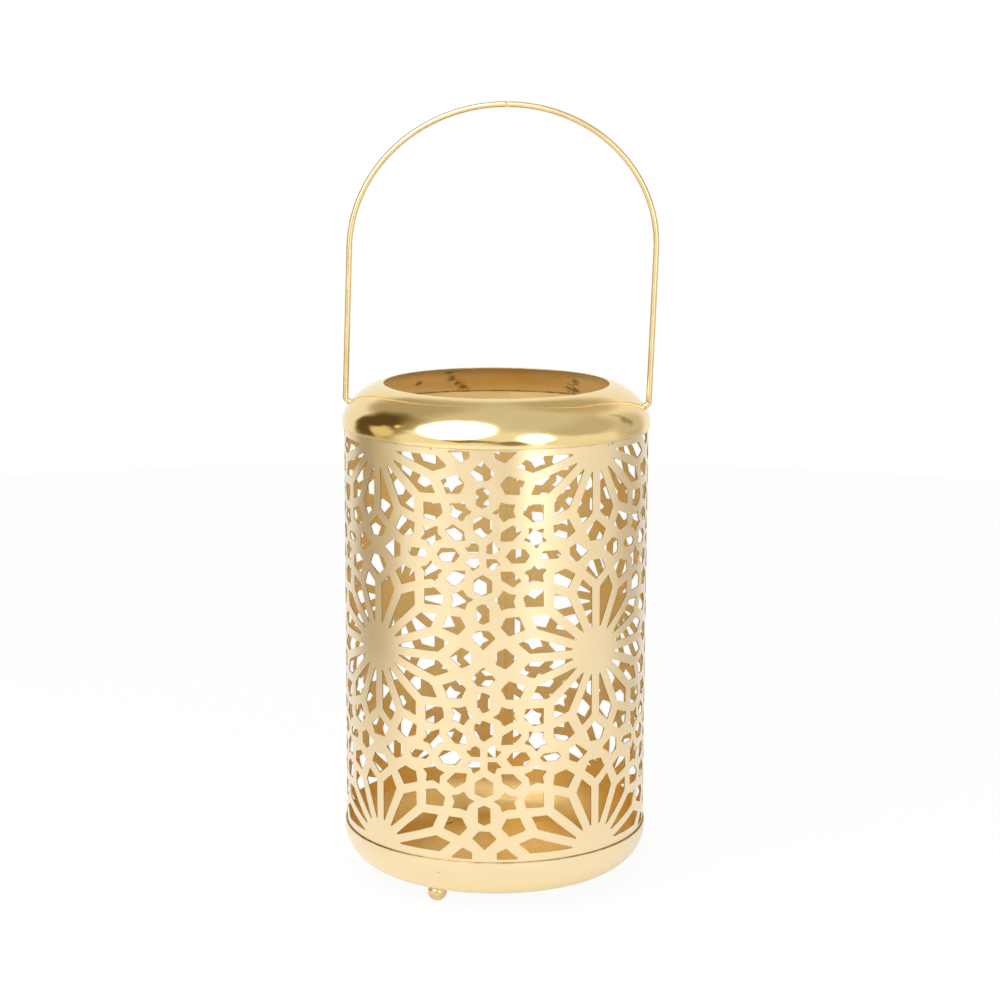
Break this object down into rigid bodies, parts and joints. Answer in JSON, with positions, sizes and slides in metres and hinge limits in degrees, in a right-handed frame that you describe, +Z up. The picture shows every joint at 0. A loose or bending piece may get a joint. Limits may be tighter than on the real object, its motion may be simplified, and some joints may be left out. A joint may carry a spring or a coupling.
{
  "type": "moroccan lantern",
  "caption": "Tall round candle lantern of pierced brass sheet with a pressed cap and pan, ball feet and a swinging wire bail.",
  "frame": {"origin": "under the middle of the lantern, at the height of the surface that the ball feet stand on", "axes": "+Z up along the sleeve's middle line, -Y the front, X through the two holes that the bail swings in"},
  "size_m": [0.168, 0.1618, 0.4134],
  "materials": {
    "satin_gold": "pale champagne gold, satin",
    "mirror_brass": "polished to a mirror outside, brushed inside",
    "bright_brass": "polished, a little yellower"
  },
  "bodies": {
    "lantern": {"top_cap": "mirror_brass", "pierced_sleeve": "satin_gold", "base_pan": "satin_gold", "ball_foot_1": "bright_brass", "ball_foot_2": "bright_brass", "ball_foot_3": "bright_brass", "foot_screw_1": "bright_brass", "foot_screw_2": "bright_brass", "foot_screw_3": "bright_brass"},
    "bail": {"bail_left": "bright_brass", "bail_right": "bright_brass"}
  },
  "joints": [
    {"name": "bail_swing", "type": "hinge", "parent": "lantern", "child": "bail", "pos_m": [0, 0, 0.25644], "axis": [1, 0, 0], "range_deg": [-96, 96]}
  ]
}
